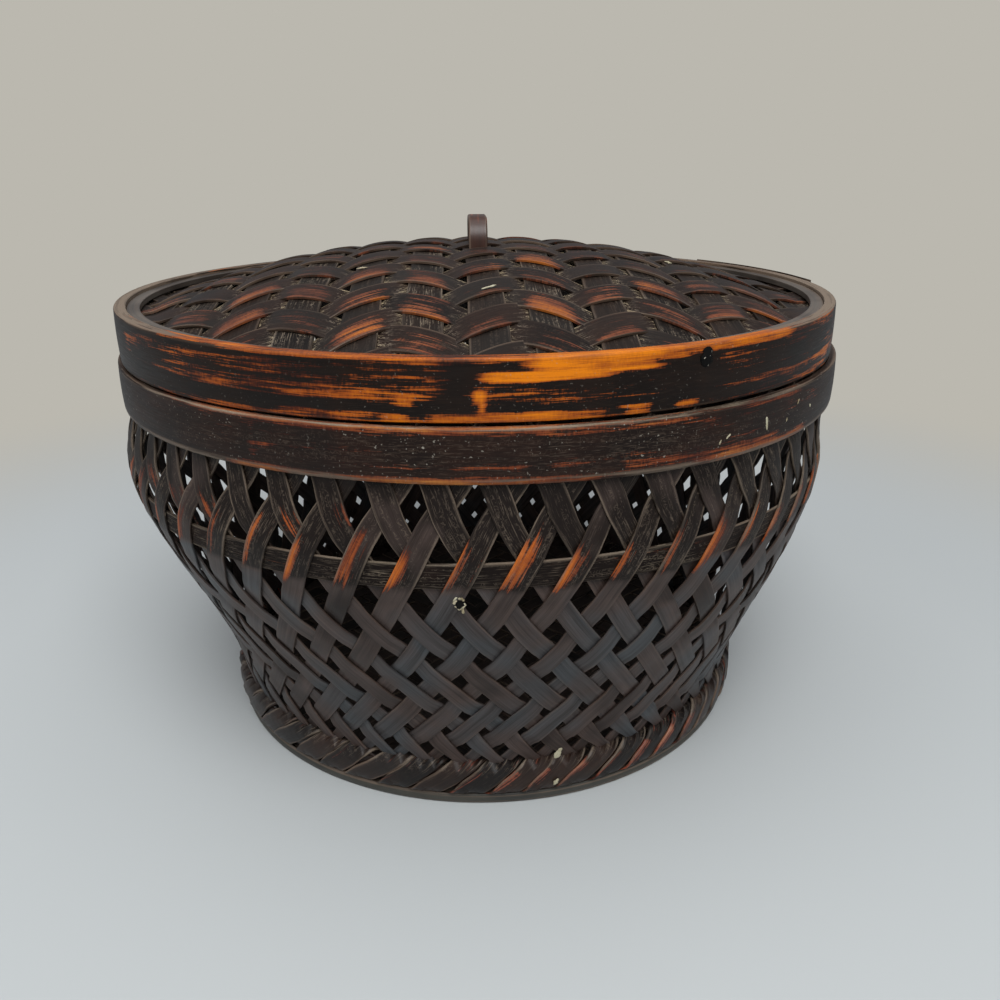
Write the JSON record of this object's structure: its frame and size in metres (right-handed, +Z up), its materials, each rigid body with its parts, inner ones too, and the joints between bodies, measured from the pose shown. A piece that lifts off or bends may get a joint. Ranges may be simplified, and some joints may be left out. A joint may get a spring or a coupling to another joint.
{
  "type": "lidded bamboo basket",
  "caption": "Round basket of split bamboo with an open diagonal weave under the rim, a narrowing foot, and a domed woven lid with a strap loop that lifts straight off.",
  "frame": {"origin": "on the floor, under the middle of the foot hoop", "axes": "+Z up out of the basket, -Y to the front as pictured, +X to the right seen from the front"},
  "size_m": [0.245, 0.245, 0.1709],
  "materials": {
    "foot_hoop": "smooth dark bamboo hoop, worn grey",
    "foot_border": "folded bamboo strips under dark lacquer, rubbed reddish at the tips",
    "base_weave": "flat bamboo strips, dark brown stain",
    "wall_strips_right": "split bamboo under thin brown lacquer, satin, worn orange near the waist",
    "wall_strips_left": "split bamboo under thin dark brown lacquer, satin",
    "waist_band": "split bamboo under thin dark brown lacquer, satin",
    "rim_outer_hoop": "bent bamboo band under near-black lacquer, rubbed golden on its top edge",
    "rim_inner_collar": "bent bamboo band under dark brown lacquer",
    "lid_outer_hoop": "bent bamboo band, near-black lacquer worn through to amber in long streaks",
    "lid_inner_hoop": "bent bamboo band under dark brown lacquer, satin",
    "lid_strips_right": "split bamboo under thin brown lacquer, worn orange on its crowns",
    "lid_strips_front_to_back": "split bamboo, grey-brown with fine fibre lines",
    "lid_strips_left": "split bamboo under thin brown lacquer, worn orange on its crowns",
    "handle_strap": "flat bamboo strap under reddish-brown lacquer, satin"
  },
  "bodies": {
    "basket": {"foot_hoop": "foot_hoop", "foot_border": "foot_border", "base_weave": "base_weave", "wall_strips_right": "wall_strips_right", "wall_strips_left": "wall_strips_left", "waist_band": "waist_band", "rim_outer_hoop": "rim_outer_hoop", "rim_inner_collar": "rim_inner_collar"},
    "lid": {"lid_outer_hoop": "lid_outer_hoop", "lid_inner_hoop": "lid_inner_hoop", "lid_strips_right": "lid_strips_right", "lid_strips_front_to_back": "lid_strips_front_to_back", "lid_strips_left": "lid_strips_left", "handle_strap": "handle_strap"}
  },
  "joints": [
    {"name": "lid_lift", "type": "slide", "parent": "basket", "child": "lid", "axis": [0, 0, 1], "range_m": [0, 0.15]}
  ]
}
